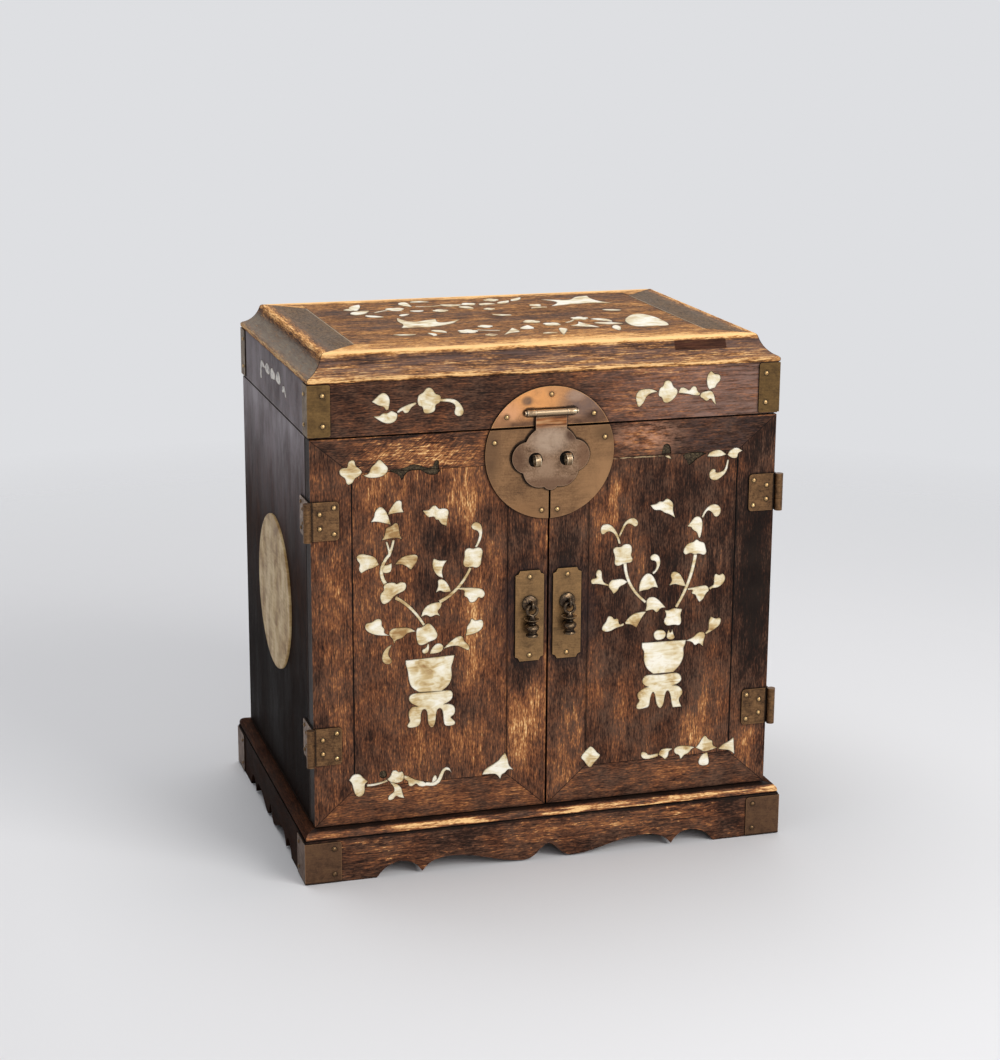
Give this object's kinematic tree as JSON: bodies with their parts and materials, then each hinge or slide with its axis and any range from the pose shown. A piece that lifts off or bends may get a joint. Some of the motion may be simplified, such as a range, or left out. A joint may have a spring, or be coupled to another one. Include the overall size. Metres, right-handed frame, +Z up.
{
  "type": "storage chest",
  "caption": "Table cabinet of dark wood on an apron plinth: a lift-up lid over a tray, hinged doors over drawers, brass lock plate and mounts, shell inlay.",
  "frame": {"origin": "on the floor, in the middle of the closed chest's bounding box", "axes": "+Z up, the doors face -Y, +X to the right as seen from in front"},
  "size_m": [0.354, 0.2596, 0.3672],
  "materials": {
    "rosewood": "worn varnish",
    "dark_wood": "worn varnish",
    "drawer_wood": "oiled",
    "inner_wood": "bare",
    "brass": "tarnished",
    "copper_brass": "tarnished",
    "shell": "polished"
  },
  "bodies": {
    "case": {"base_front_apron": "rosewood", "base_back_apron": "rosewood", "base_side_aprons": "dark_wood", "base_corner_caps": "brass", "left_side_panel": "dark_wood", "right_side_panel": "dark_wood", "back_panel": "dark_wood", "bottom_board": "inner_wood", "tray_floor": "inner_wood", "tray_front_board": "dark_wood", "drawer_partitions": "inner_wood", "side_discs": "shell", "door_hinge_side_leaves": "brass", "lid_hinge_body_leaves": "brass", "body_nails": "brass"},
    "lid": {"lid_front_board": "rosewood", "lid_back_board": "rosewood", "lid_side_boards": "rosewood", "lid_top_frame": "rosewood", "lid_top_panel": "rosewood", "lid_corner_straps": "brass", "lid_lock_plate": "copper_brass", "lid_hinge_leaves": "brass", "lid_nails": "brass", "lid_board_inlays": "shell", "lid_top_inlay": "shell", "hasp_pin": "brass"},
    "swing_hasp": {"hasp": "copper_brass"},
    "left_door": {"left_door_stiles": "rosewood", "left_door_rails": "rosewood", "left_door_panel": "rosewood", "left_door_hinge_leaves": "brass", "left_lock_plate": "brass", "left_lock_staple": "brass", "left_pull_plate": "brass", "left_pull_eye": "brass", "left_door_nails": "brass", "left_door_inlay": "shell"},
    "right_door": {"right_door_stiles": "rosewood", "right_door_rails": "rosewood", "right_door_panel": "rosewood", "right_door_hinge_leaves": "brass", "right_lock_plate": "brass", "right_lock_staple": "brass", "right_pull_plate": "brass", "right_pull_eye": "brass", "right_door_nails": "brass", "right_door_inlay": "shell"},
    "left_drop": {"left_pull_drop": "brass"},
    "right_drop": {"right_pull_drop": "brass"},
    "sliding_upper_left": {"upper_left_drawer": "drawer_wood", "upper_left_drawer_pull": "brass"},
    "sliding_upper_right": {"upper_right_drawer": "drawer_wood", "upper_right_drawer_pull": "brass"},
    "sliding_middle_left": {"middle_left_drawer": "drawer_wood", "middle_left_drawer_pull": "brass"},
    "sliding_middle_right": {"middle_right_drawer": "drawer_wood", "middle_right_drawer_pull": "brass"},
    "sliding_bottom": {"bottom_drawer": "drawer_wood", "bottom_drawer_pull": "brass"}
  },
  "joints": [
    {"name": "lid_hinge", "type": "hinge", "parent": "case", "child": "lid", "pos_m": [0, 0.1228, 0.312], "axis": [-1, 0, 0], "range_deg": [0, 110]},
    {"name": "hasp_hinge", "type": "hinge", "parent": "lid", "child": "swing_hasp", "pos_m": [0, -0.1206, 0.3225], "axis": [-1, 0, 0], "range_deg": [0, 170]},
    {"name": "left_door_hinge", "type": "hinge", "parent": "case", "child": "left_door", "pos_m": [-0.1694, -0.1192, 0.1765], "axis": [0, 0, -1], "range_deg": [0, 180]},
    {"name": "right_door_hinge", "type": "hinge", "parent": "case", "child": "right_door", "pos_m": [0.1694, -0.1192, 0.1765], "axis": [0, 0, 1], "range_deg": [0, 180]},
    {"name": "left_pull_hinge", "type": "hinge", "parent": "left_door", "child": "left_drop", "pos_m": [-0.0136, -0.1242, 0.188], "axis": [-1, 0, 0], "range_deg": [0, 110]},
    {"name": "right_pull_hinge", "type": "hinge", "parent": "right_door", "child": "right_drop", "pos_m": [0.0136, -0.1242, 0.188], "axis": [-1, 0, 0], "range_deg": [0, 110]},
    {"name": "upper_left_drawer_slide", "type": "slide", "parent": "case", "child": "sliding_upper_left", "axis": [0, -1, 0], "range_m": [0, 0.008]},
    {"name": "upper_right_drawer_slide", "type": "slide", "parent": "case", "child": "sliding_upper_right", "axis": [0, -1, 0], "range_m": [0, 0.008]},
    {"name": "middle_left_drawer_slide", "type": "slide", "parent": "case", "child": "sliding_middle_left", "axis": [0, -1, 0], "range_m": [0, 0.008]},
    {"name": "middle_right_drawer_slide", "type": "slide", "parent": "case", "child": "sliding_middle_right", "axis": [0, -1, 0], "range_m": [0, 0.008]},
    {"name": "bottom_drawer_slide", "type": "slide", "parent": "case", "child": "sliding_bottom", "axis": [0, -1, 0], "range_m": [0, 0.008]}
  ]
}
